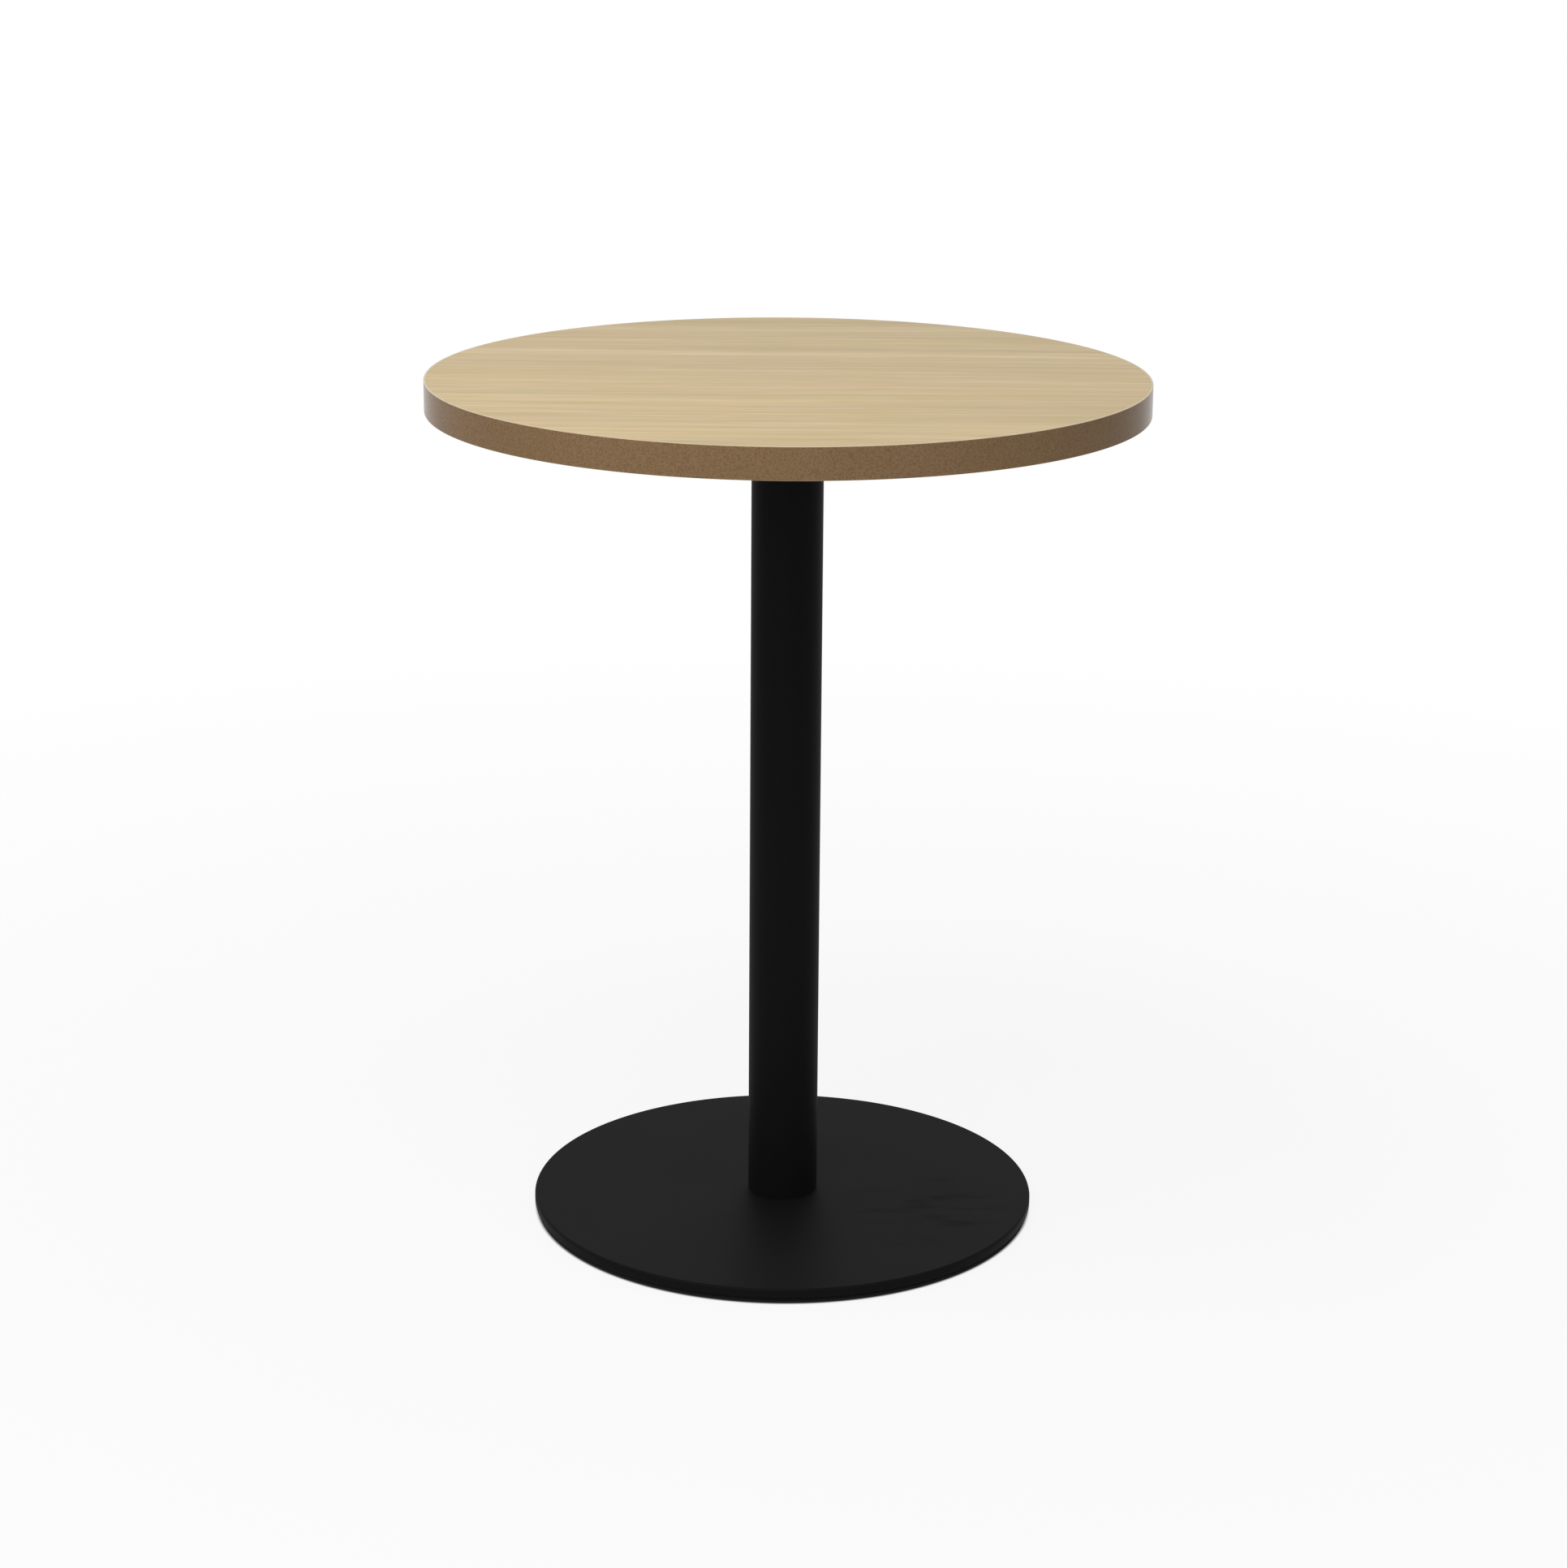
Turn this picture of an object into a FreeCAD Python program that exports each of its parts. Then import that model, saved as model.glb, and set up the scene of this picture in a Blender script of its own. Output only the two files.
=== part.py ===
import FreeCAD
import Part
import math
import os

# A round table: a laminated disc top on one steel column, bolted to a flat round steel base
# that stands on four levelling glides. Millimetres, Z up, the front of the table towards -Y.
# The origin is on the floor under the column, and the grain of the top runs along X.

# Whole table
table_height = 735.0

# Top: a chipboard core with laminate above, a backing sheet below and a band round the edge
top_diameter = 600.0
top_thickness = 26.0
laminate_thickness = 0.8
backer_thickness = 0.8
band_thickness = 2.0
band_arris = 1.5
band_arris_limit_share = 0.9  # of the band's thickness
glue_line = 0.1

# Mounting plate, welded to the head of the column
plate_side = 240.0
plate_thickness = 4.0
plate_corner_radius = 20.0
head_weld_leg = 4.0

# Column, and the threaded plug welded into its foot
column_diameter = 60.3
column_wall = 2.0
plug_thickness = 10.0
plug_weld_leg = 2.5

# Base
base_diameter = 436.0
base_thickness = 8.0
base_top_arris = 2.2
base_bottom_arris = 1.5

# Countersunk screws that hold the base to the plug, put in from below
column_screw_count = 4
column_screw_inset = 10.0  # edge of the plug to the axis of a screw
column_screw_diameter = 8.0
column_screw_length = 16.0
column_screw_head_diameter = 16.0
column_screw_head_edge = 0.4  # the short cylinder round the head
column_screw_key = 5.0
column_screw_key_depth = 3.2
column_screw_recess = 0.3  # head above the underside of the base

# Button-head screws, washers and threaded inserts that hold the top to the plate
top_screw_inset = 20.0  # edge of the plate to the axis of a screw
top_screw_diameter = 6.0
top_screw_length = 16.0
top_screw_head_diameter = 10.5
top_screw_head_height = 3.3
top_screw_head_edge = 0.5
top_screw_crown_share = 0.52  # flat crown, of the head's diameter
top_screw_key = 4.0
top_screw_key_depth = 2.1
washer_diameter = 12.0
washer_thickness = 1.6
insert_wall = 2.0
insert_length = 13.0
insert_recess = 0.5  # insert above the face of the backing sheet
insert_hole_spare = 1.0  # depth of the hole past the insert

# Levelling glides: a steel stud in a blind tapped hole, and a nylon cap snapped over its head
glide_inset = 30.0  # edge of the base to the axis of a glide
glide_hole_skin = 1.2  # base left above the blind hole
stud_diameter = 6.0
stud_point_gap = 0.8  # end of the stud to the end of its hole
stud_collar_diameter = 12.0
stud_collar_thickness = 1.4
stud_head_diameter = 18.0
stud_head_thickness = 1.6
stud_key = 4.0
stud_key_depth = 2.2
cap_floor = 2.0
cap_wall = 3.2
cap_sole_chamfer = 0.8
cap_rim_chamfer = 0.5

# Clearances, all radial but the cap's, which is axial too
thread_clearance = 0.05  # a screw to its tapped hole
seat_clearance = 0.05  # round faces that are welded or pressed together
plug_clearance = 0.1  # plug to column
column_screw_play = 0.5  # column screw to the hole through the base
plate_hole_play = 0.5  # top screw to the hole through the plate
washer_play = 0.2  # top screw to washer
cap_clearance = 0.3  # cap to stud and cap to base
cap_key_room = 0.7  # corners of the key to the hole in the sole
overrun = 1.0  # how far a cutting shape runs past the face that it opens

# Corners where the glides stand, as shares of a turn from +X
glide_turn_shares = {"back_right": 0.125, "back_left": 0.375, "front_left": 0.625, "front_right": 0.875}

# Heights, from the floor up
base_bottom = cap_floor + stud_head_thickness + stud_collar_thickness
base_top = base_bottom + base_thickness
top_underside = table_height - top_thickness
core_bottom = top_underside + backer_thickness
core_top = table_height - laminate_thickness
plate_bottom = top_underside - plate_thickness
washer_bottom = plate_bottom - washer_thickness
insert_bottom = top_underside + insert_recess
insert_top = insert_bottom + insert_length
top_screw_point = washer_bottom + top_screw_length
insert_hole_top = max(insert_top, top_screw_point) + insert_hole_spare
column_screw_face = base_bottom + column_screw_recess
column_screw_cone = column_screw_face + column_screw_head_edge

# Radii
top_radius = top_diameter / 2
core_radius = top_radius - band_thickness - glue_line
column_radius = column_diameter / 2
bore_radius = column_radius - column_wall
plug_radius = bore_radius - plug_clearance
insert_radius = top_screw_diameter / 2 + insert_wall


def point(radius, height):
    return FreeCAD.Vector(radius, 0, height)


def path(*points):
    """Straight edges through the points."""
    return Part.makePolygon(points).Edges


def loop(*points):
    """Straight edges through the points and back to the first."""
    return path(*points, points[0])


def quarter_round(start, corner, end):
    """Arc from start to end that rounds the square corner between them."""
    centre = start + end - corner
    middle = centre + (corner - centre) * math.sqrt(0.5)
    return Part.Arc(start, middle, end).toShape()


def turned(edges):
    """Solid that a closed outline beside the Z axis makes in a full turn about it."""
    face = Part.Face(Part.Wire(edges))
    return face.revolve(FreeCAD.Vector(0, 0, 0), FreeCAD.Vector(0, 0, 1), 360)


def cylinder(radius, bottom, top):
    return Part.makeCylinder(radius, top - bottom, point(0, bottom))


def rounded_disc(radius, bottom, top, bottom_round, top_round):
    lower = point(radius, bottom + bottom_round)
    upper = point(radius, top - top_round)
    outline = path(point(0, top), point(0, bottom), point(radius - bottom_round, bottom))
    outline.append(quarter_round(point(radius - bottom_round, bottom), point(radius, bottom), lower))
    outline += path(lower, upper)
    outline.append(quarter_round(upper, point(radius, top), point(radius - top_round, top)))
    outline += path(point(radius - top_round, top), point(0, top))
    return turned(outline)


def polar(radius, turn_share):
    turn = 2 * math.pi * turn_share
    return FreeCAD.Vector(radius * math.cos(turn), radius * math.sin(turn), 0)


def corner_radius(across_flats):
    return across_flats / math.sqrt(3)


def key_socket(across_flats, bottom, top):
    """Upright hexagonal prism that a key's socket takes out of a screw."""
    corners = [polar(corner_radius(across_flats), side / 6) + point(0, bottom) for side in range(6)]
    return Part.Face(Part.Wire(loop(*corners))).extrude(point(0, top - bottom))


def at(shape, place):
    moved = shape.copy()
    moved.translate(place)
    return moved


def copies(shape, places):
    return [at(shape, place) for place in places]


def column_screw_places():
    circle = plug_radius - column_screw_inset
    return [polar(circle, number / column_screw_count) for number in range(column_screw_count)]


def top_screw_places():
    reach = plate_side / 2 - top_screw_inset
    return [FreeCAD.Vector(across * reach, along * reach, 0) for across in (-1, 1) for along in (-1, 1)]


def glide_place(corner):
    return polar(base_diameter / 2 - glide_inset, glide_turn_shares[corner])


def insert_holes():
    radius = insert_radius + seat_clearance
    return copies(cylinder(radius, top_underside - overrun, insert_hole_top), top_screw_places())


def tabletop_core():
    return cylinder(core_radius, core_bottom, core_top).cut(insert_holes())


def tabletop_laminate():
    return cylinder(core_radius, core_top, table_height)


def underside_backer():
    return cylinder(core_radius, top_underside, core_bottom).cut(insert_holes())


def edge_band():
    arris = min(band_arris, band_arris_limit_share * band_thickness)
    disc = rounded_disc(top_radius, top_underside, table_height, arris, arris)
    inside = cylinder(top_radius - band_thickness, top_underside - overrun, table_height + overrun)
    return disc.cut(inside)


def top_mounting_plate():
    corner = FreeCAD.Vector(-plate_side / 2, -plate_side / 2, plate_bottom)
    plate = Part.makeBox(plate_side, plate_side, plate_thickness, corner)
    upright = [edge for edge in plate.Edges if edge.tangentAt(edge.FirstParameter).z]
    plate = plate.makeFillet(plate_corner_radius, upright)
    hole = cylinder(top_screw_diameter / 2 + plate_hole_play, plate_bottom - overrun, top_underside + overrun)
    return plate.cut(copies(hole, top_screw_places()))


def head_weld():
    """Fillet bead in the corner between the column and the plate."""
    corner = point(column_radius + seat_clearance, plate_bottom)
    return turned(loop(corner, corner + point(head_weld_leg, 0), corner - point(0, head_weld_leg)))


def top_screws():
    """Heads down, shanks up through washer, plate and insert."""
    head_radius = top_screw_head_diameter / 2
    shank_radius = top_screw_diameter / 2 - thread_clearance
    head_bottom = washer_bottom - top_screw_head_height
    screw = turned(loop(
        point(0, head_bottom),
        point(head_radius * top_screw_crown_share, head_bottom),
        point(head_radius, washer_bottom - top_screw_head_edge),
        point(head_radius, washer_bottom),
        point(shank_radius, washer_bottom),
        point(shank_radius, top_screw_point),
        point(0, top_screw_point),
    ))
    socket = key_socket(top_screw_key, head_bottom - overrun, head_bottom + top_screw_key_depth)
    return Part.makeCompound(copies(screw.cut(socket), top_screw_places()))


def top_washers():
    hole_radius = top_screw_diameter / 2 + washer_play
    hole = cylinder(hole_radius, washer_bottom - overrun, plate_bottom + overrun)
    washer = cylinder(washer_diameter / 2, washer_bottom, plate_bottom).cut(hole)
    return Part.makeCompound(copies(washer, top_screw_places()))


def insert_nuts():
    bore = cylinder(top_screw_diameter / 2, insert_bottom - overrun, insert_top + overrun)
    nut = cylinder(insert_radius, insert_bottom, insert_top).cut(bore)
    return Part.makeCompound(copies(nut, top_screw_places()))


def column_tube():
    bore = cylinder(bore_radius, base_top - overrun, plate_bottom + overrun)
    return cylinder(column_radius, base_top, plate_bottom).cut(bore)


def column_foot_plug():
    """Disc flush with the foot of the column, chamfered for its weld and tapped for the screws."""
    plug_top = base_top + plug_thickness
    plug = turned(loop(
        point(0, base_top),
        point(plug_radius - plug_weld_leg, base_top),
        point(plug_radius, base_top + plug_weld_leg),
        point(plug_radius, plug_top),
        point(0, plug_top),
    ))
    tapped = cylinder(column_screw_diameter / 2, base_top - overrun, plug_top + overrun)
    return plug.cut(copies(tapped, column_screw_places()))


def foot_weld():
    """Bead that fills the groove round the plug, ground flush with the column's foot."""
    corner = point(bore_radius - seat_clearance, base_top)
    return turned(loop(corner, corner + point(0, plug_weld_leg), corner - point(plug_weld_leg, 0)))


def column_screws():
    head_radius = column_screw_head_diameter / 2
    shank_radius = column_screw_diameter / 2 - thread_clearance
    end = column_screw_face + column_screw_length
    screw = turned(loop(
        point(0, column_screw_face),
        point(head_radius, column_screw_face),
        point(head_radius, column_screw_cone),
        point(shank_radius, column_screw_cone + head_radius - shank_radius),
        point(shank_radius, end),
        point(0, end),
    ))
    socket_end = column_screw_face + column_screw_key_depth
    socket = key_socket(column_screw_key, column_screw_face - overrun, socket_end)
    return Part.makeCompound(copies(screw.cut(socket), column_screw_places()))


def countersunk_hole():
    """What one column screw takes out of the base."""
    mouth_radius = column_screw_head_diameter / 2 + seat_clearance
    hole_radius = column_screw_diameter / 2 + column_screw_play
    return turned(loop(
        point(0, base_bottom - overrun),
        point(mouth_radius, base_bottom - overrun),
        point(mouth_radius, column_screw_cone),
        point(hole_radius, column_screw_cone + mouth_radius - hole_radius),
        point(hole_radius, base_top + overrun),
        point(0, base_top + overrun),
    ))


def base_disc():
    disc = rounded_disc(base_diameter / 2, base_bottom, base_top, base_bottom_arris, base_top_arris)
    disc = disc.cut(copies(countersunk_hole(), column_screw_places()))
    tapped = cylinder(stud_diameter / 2, base_bottom - overrun, base_top - glide_hole_skin)
    return disc.cut([at(tapped, glide_place(corner)) for corner in glide_turn_shares])


def glide_stud():
    """Levelling screw: stem in the base, collar against it, wide head in the cap."""
    stem_radius = stud_diameter / 2 - thread_clearance
    collar_radius = stud_collar_diameter / 2
    head_radius = stud_head_diameter / 2
    head_top = cap_floor + stud_head_thickness
    stem_top = base_top - glide_hole_skin - stud_point_gap
    stud = turned(loop(
        point(0, cap_floor),
        point(head_radius, cap_floor),
        point(head_radius, head_top),
        point(collar_radius, head_top),
        point(collar_radius, base_bottom),
        point(stem_radius, base_bottom),
        point(stem_radius, stem_top),
        point(0, stem_top),
    ))
    return stud.cut(key_socket(stud_key, cap_floor - overrun, cap_floor + stud_key_depth))


def glide_cap():
    """Nylon cap with a hole in its sole for the key, and a lip that snaps over the stud's head."""
    key_hole = corner_radius(stud_key) + cap_key_room
    cavity = stud_head_diameter / 2 + cap_clearance
    mouth = stud_collar_diameter / 2 + cap_clearance
    outer = cavity + cap_wall
    cavity_top = cap_floor + stud_head_thickness + cap_clearance
    cap_top = base_bottom - cap_clearance
    return turned(loop(
        point(key_hole, 0),
        point(outer - cap_sole_chamfer, 0),
        point(outer, cap_sole_chamfer),
        point(outer, cap_top - cap_rim_chamfer),
        point(outer - cap_rim_chamfer, cap_top),
        point(mouth, cap_top),
        point(mouth, cavity_top),
        point(cavity, cavity_top),
        point(cavity, cap_floor),
        point(key_hole, cap_floor),
    ))


def save(name, shape):
    shape.exportStep(os.path.join("parts", name + ".step"))


os.makedirs("parts", exist_ok=True)

fixed_pieces = (
    tabletop_core,
    tabletop_laminate,
    underside_backer,
    edge_band,
    top_mounting_plate,
    head_weld,
    top_screws,
    top_washers,
    insert_nuts,
    column_tube,
    column_foot_plug,
    foot_weld,
    column_screws,
    base_disc,
)
for piece in fixed_pieces:
    save(piece.__name__, piece())

for corner in glide_turn_shares:
    save("glide_stud_" + corner, at(glide_stud(), glide_place(corner)))
    save("glide_cap_" + corner, at(glide_cap(), glide_place(corner)))
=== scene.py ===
import math

import bmesh
import bpy
from mathutils import Matrix, Vector


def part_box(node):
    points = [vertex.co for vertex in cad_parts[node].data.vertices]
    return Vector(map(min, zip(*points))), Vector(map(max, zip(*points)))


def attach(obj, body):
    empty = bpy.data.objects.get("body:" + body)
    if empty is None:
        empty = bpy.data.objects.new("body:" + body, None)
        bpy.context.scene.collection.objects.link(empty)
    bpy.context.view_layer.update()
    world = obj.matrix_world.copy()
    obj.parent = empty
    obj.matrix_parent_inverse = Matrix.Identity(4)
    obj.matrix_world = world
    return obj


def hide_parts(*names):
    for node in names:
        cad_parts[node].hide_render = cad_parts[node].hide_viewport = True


# The looks of a round cafe table: oak laminate top with a brown plastic edge band, one black
# powder-coated column, and a flat black base on four levelling glides. Metres, Z up, front to -Y.
# Outer sizes come from the frame's boxes, and the sizes below are those that no box gives.

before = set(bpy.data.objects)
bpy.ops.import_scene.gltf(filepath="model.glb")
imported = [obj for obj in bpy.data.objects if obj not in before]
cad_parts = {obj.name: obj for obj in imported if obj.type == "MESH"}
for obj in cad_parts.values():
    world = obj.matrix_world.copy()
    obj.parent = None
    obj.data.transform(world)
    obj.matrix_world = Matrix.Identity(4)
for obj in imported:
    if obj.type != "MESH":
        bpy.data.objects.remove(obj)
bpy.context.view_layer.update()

MM = 0.001

# Top
BAND_THICKNESS = 2 * MM
BAND_ARRIS = 0.5 * MM
BACKER_HOLE_RADIUS = 5.05 * MM

# Mounting plate, and the weld between it and the column
PLATE_CORNER_RADIUS = 20 * MM
PLATE_ARRIS = 0.5 * MM
PLATE_HOLE_RADIUS = 3.5 * MM
BEAD_RADIUS = 2.3 * MM
BEAD_INSET = 2.2 * MM  # outline of the weld to the middle of the bead
BEAD_DROP = 1.8 * MM  # face of the plate to the middle of the bead
BEAD_RIPPLES = 64
BEAD_RIPPLE_HEIGHT = 0.22 * MM
BEAD_RIPPLE_LEAN = 12  # radians of turn for a metre of height

# Column and base
COLUMN_WALL = 2 * MM
COLUMN_ARRIS = 0.4 * MM
BASE_TOP_ARRIS = 2.2 * MM
BASE_BOTTOM_ARRIS = 1.5 * MM

# Threads: radius, pitch, and how deep the ridges are
M6_THREAD = (2.95 * MM, 1 * MM, 0.55 * MM)
M8_THREAD = (3.95 * MM, 1.25 * MM, 0.68 * MM)

# Button-head screws and washers that hold the top
BUTTON_RADIUS = 5.25 * MM
BUTTON_ROUND = 2.6 * MM
BUTTON_KEY = 4 * MM
BUTTON_KEY_DEPTH = 2.1 * MM
WASHER_RADIUS = 6 * MM
WASHER_HOLE_RADIUS = 3.2 * MM
WASHER_ARRIS = 0.3 * MM

# Countersunk screws that hold the base, and their holes in it
COUNTERSUNK_RADIUS = 8 * MM
COUNTERSUNK_EDGE = 0.4 * MM  # the short cylinder round the head
COUNTERSUNK_ARRIS = 0.25 * MM
COUNTERSUNK_KEY = 5 * MM
COUNTERSUNK_KEY_DEPTH = 3.2 * MM
COUNTERSUNK_SHANK_START = 4 * MM  # face of the head to the start of the thread
SINK_RADIUS = 8.05 * MM
SINK_MOUTH = 0.7 * MM  # depth of the straight part of the hole
SINK_HOLE_RADIUS = 4.5 * MM

# Levelling studs and the blind holes that they turn in
STUD_HEAD_RADIUS = 9 * MM
STUD_HEAD_THICKNESS = 1.6 * MM
STUD_COLLAR_RADIUS = 6 * MM
STUD_ARRIS = 0.2 * MM
STUD_KEY = 4 * MM
STUD_KEY_DEPTH = 2.2 * MM
STUD_OVERLAP = 0.2 * MM  # how far the thread starts inside the collar
GLIDE_HOLE_RADIUS = 3 * MM
GLIDE_HOLE_SKIN = 1.2 * MM  # base left above the hole

# Nylon caps
CAP_KEY_HOLE_RADIUS = 3.01 * MM
CAP_KEY_HOLE_ARRIS = 0.3 * MM
CAP_HOLLOW_RADIUS = 9.3 * MM
CAP_HOLLOW_BOTTOM = 2 * MM  # above the sole, as the next two
CAP_HOLLOW_TOP = 3.9 * MM
CAP_MOUTH_BOTTOM = 3 * MM
CAP_MOUTH_RADIUS = 6.3 * MM
CAP_SOLE_ROUND = 0.8 * MM
CAP_RIM_ROUND = 0.5 * MM

# How far a cutting shape runs past the face that it opens
OVERRUN = 1 * MM

# Room for rounding when edges are found by their height and radius
HEIGHT_SLACK = 0.01 * MM
RADIUS_SLACK = 0.05 * MM

# Sides of the round pieces, enough that no corner shows
TOP_SIDES = 256
BASE_SIDES = 256
COLUMN_SIDES = 128
SCREW_SIDES = 48
GLIDE_SIDES = 96
THREAD_SIDES = 24
THREAD_STEPS = 12  # rings for each turn of a thread
BEAD_SIDES = 16

CORNERS = ("front_left", "front_right", "back_left", "back_right")


# Handling of pieces

def put_down():
    if bpy.context.object and bpy.context.object.mode != "OBJECT":
        bpy.ops.object.mode_set(mode="OBJECT")
    bpy.ops.object.select_all(action="DESELECT")


def take(piece):
    """Puts down what is in hand and takes only this piece."""
    put_down()
    bpy.context.view_layer.objects.active = piece
    piece.select_set(True)


def settle(name):
    """Names the new primitive and puts its place and size into its mesh."""
    piece = bpy.context.object
    piece.name = name
    piece.data.name = name
    bpy.ops.object.transform_apply(location=True, rotation=True, scale=True)
    return piece


def pick(piece, kind, wanted):
    """Opens the piece with only those of its faces or edges selected that are wanted."""
    take(piece)
    bpy.ops.object.mode_set(mode="EDIT")
    bpy.ops.mesh.select_mode(type=kind)
    bpy.ops.mesh.select_all(action="DESELECT")
    mesh = bmesh.from_edit_mesh(piece.data)
    for part in mesh.faces if kind == "FACE" else mesh.edges:
        if wanted(part):
            part.select_set(True)
    bmesh.update_edit_mesh(piece.data)


def rise(edge):
    """How much higher one end of the edge is than the other."""
    return abs(edge.verts[0].co.z - edge.verts[1].co.z)


def faces_up(face):
    return face.normal.z > 0.5


def pull_up(height):
    """Extrudes what is selected straight up."""
    bpy.ops.mesh.extrude_region_move(TRANSFORM_OT_translate={"value": (0, 0, height)})


def narrow(share):
    """Scales what is selected about its middle, and leaves its height."""
    bpy.ops.transform.resize(value=(share, share, 1))


def finish_with(piece, kind, **settings):
    """Adds a modifier and applies it."""
    take(piece)
    modifier = piece.modifiers.new(kind.lower(), kind)
    for field, value in settings.items():
        setattr(modifier, field, value)
    bpy.ops.object.modifier_apply(modifier=modifier.name)


def cut_out(piece, cutters):
    """Takes the cutters' shapes out of the piece."""
    for cutter in cutters:
        finish_with(piece, "BOOLEAN", object=cutter, operation="DIFFERENCE", solver="EXACT")
        bpy.data.objects.remove(cutter)


def smooth(piece, degrees=32):
    """Rounds shade smoothly and flat faces stay flat, right up to their edges."""
    take(piece)
    bpy.ops.object.shade_smooth_by_angle(angle=math.radians(degrees))
    finish_with(piece, "WEIGHTED_NORMAL", keep_sharp=True)


def turn_and_move(piece, degrees, place):
    """Turns the piece about the Z axis, then moves it."""
    take(piece)
    bpy.ops.object.mode_set(mode="EDIT")
    bpy.ops.mesh.select_all(action="SELECT")
    if degrees:
        bpy.ops.transform.rotate(value=math.radians(degrees), orient_axis="Z", center_override=(0, 0, 0))
    bpy.ops.transform.translate(value=place)
    put_down()
    return piece


def copy_of(piece, name):
    """A copy with its own mesh."""
    take(piece)
    bpy.ops.object.duplicate()
    made = bpy.context.object
    made.name = name
    made.data.name = name
    return made


def joined(pieces, name):
    """Makes one piece of several."""
    take(pieces[0])
    for piece in pieces[1:]:
        piece.select_set(True)
    if len(pieces) > 1:
        bpy.ops.object.join()
    pieces[0].name = name
    pieces[0].data.name = name
    return pieces[0]


def set_of(piece, name, places):
    """The piece at every place, each turned a little differently, as fastened things are."""
    first_turn, next_turn = 11, 37
    copies = [copy_of(piece, name) for _ in places]
    bpy.data.objects.remove(piece)
    for number, (copy, place) in enumerate(zip(copies, places)):
        turn_and_move(copy, next_turn * number + first_turn, place)
    return joined(copies, name)


def dress(piece, body, nodes, finish):
    """The piece rides on its body in place of its CAD nodes, and takes its finish."""
    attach(piece, body)
    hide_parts(*nodes)
    piece.data.materials.clear()
    piece.data.materials.append(finish)


# Shapes that several pieces start from

def bar(name, radius, bottom, top, sides, ends="NGON"):
    """Upright round bar, or with no ends a round wall."""
    put_down()
    bpy.ops.mesh.primitive_cylinder_add(
        vertices=sides, radius=radius, depth=top - bottom, end_fill_type=ends,
        location=(0, 0, (bottom + top) / 2),
    )
    return settle(name)


def ring(name, outer, inner, bottom, top, sides):
    """Round wall given its thickness inwards."""
    piece = bar(name, outer, bottom, top, sides, ends="NOTHING")
    finish_with(piece, "SOLIDIFY", thickness=outer - inner, offset=-1, use_even_offset=True)
    return piece


def round_over(piece, height, radius, size, steps):
    """Rounds the circular edge at that height and radius."""
    def on_circle(corner):
        level = abs(corner.co.z - height) < HEIGHT_SLACK
        return level and abs(corner.co.xy.length - radius) < RADIUS_SLACK
    pick(piece, "EDGE", lambda edge: all(on_circle(corner) for corner in edge.verts))
    bpy.ops.mesh.bevel(offset=size, segments=steps, affect="EDGES")
    put_down()


def hexagon(across_flats, bottom, top):
    """Cutter for a hexagon socket."""
    return bar("socket", across_flats / math.sqrt(3), bottom, top, 6)


def thread(name, radius, pitch, depth, bottom, top):
    """An off-centre rod twisted once for each pitch has the rounded ridges of a right-hand thread."""
    piece = bar(name, radius - depth / 2, bottom, top, THREAD_SIDES)
    turns = (top - bottom) / pitch
    pick(piece, "EDGE", lambda edge: rise(edge) > (top - bottom) / 2)
    bpy.ops.mesh.subdivide(number_cuts=int(turns * THREAD_STEPS))
    bpy.ops.mesh.select_all(action="SELECT")
    bpy.ops.transform.translate(value=(depth / 2, 0, 0))
    put_down()
    finish_with(piece, "SIMPLE_DEFORM", deform_method="TWIST", deform_axis="Z", angle=turns * 2 * math.pi)
    return piece


# Places, worked out from the frame

def top_screw_places():
    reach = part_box("top_washers")[1].x - WASHER_RADIUS
    return [Vector((across * reach, along * reach, 0)) for across in (-1, 1) for along in (-1, 1)]


def column_screw_places():
    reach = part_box("column_screws")[1].x - COUNTERSUNK_RADIUS
    turns = (0, math.pi / 2, math.pi, -math.pi / 2)
    return [Vector((reach * math.cos(turn), reach * math.sin(turn), 0)) for turn in turns]


def glide_place(corner):
    low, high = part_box("glide_cap_" + corner)
    return Vector(((low.x + high.x) / 2, (low.y + high.y) / 2, 0))


# Pieces of the top

def oak_face():
    """The laminate, which ends a hair short of the band."""
    low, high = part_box("tabletop_laminate")
    piece = bar("oak_face", high.x, low.z, high.z, TOP_SIDES)
    smooth(piece)
    return piece


def plastic_edge():
    """The band, with its small trimmed rounds above and below."""
    low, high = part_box("edge_band")
    piece = ring("plastic_edge", high.x, high.x - BAND_THICKNESS, low.z, high.z, TOP_SIDES)
    for height in (low.z, high.z):
        round_over(piece, height, high.x, BAND_ARRIS, 4)
    smooth(piece)
    return piece


def top_screw_drills(radius, low, high):
    """Cutters for the holes that the top's four screws pass through."""
    return [
        turn_and_move(bar("drill", radius, low.z - OVERRUN, high.z + OVERRUN, SCREW_SIDES), 0, place)
        for place in top_screw_places()
    ]


def underside_sheet():
    """The backing sheet, with its four holes."""
    low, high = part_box("underside_backer")
    piece = bar("underside_sheet", high.x, low.z, high.z, TOP_SIDES)
    cut_out(piece, top_screw_drills(BACKER_HOLE_RADIUS, low, high))
    smooth(piece)
    return piece


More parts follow.
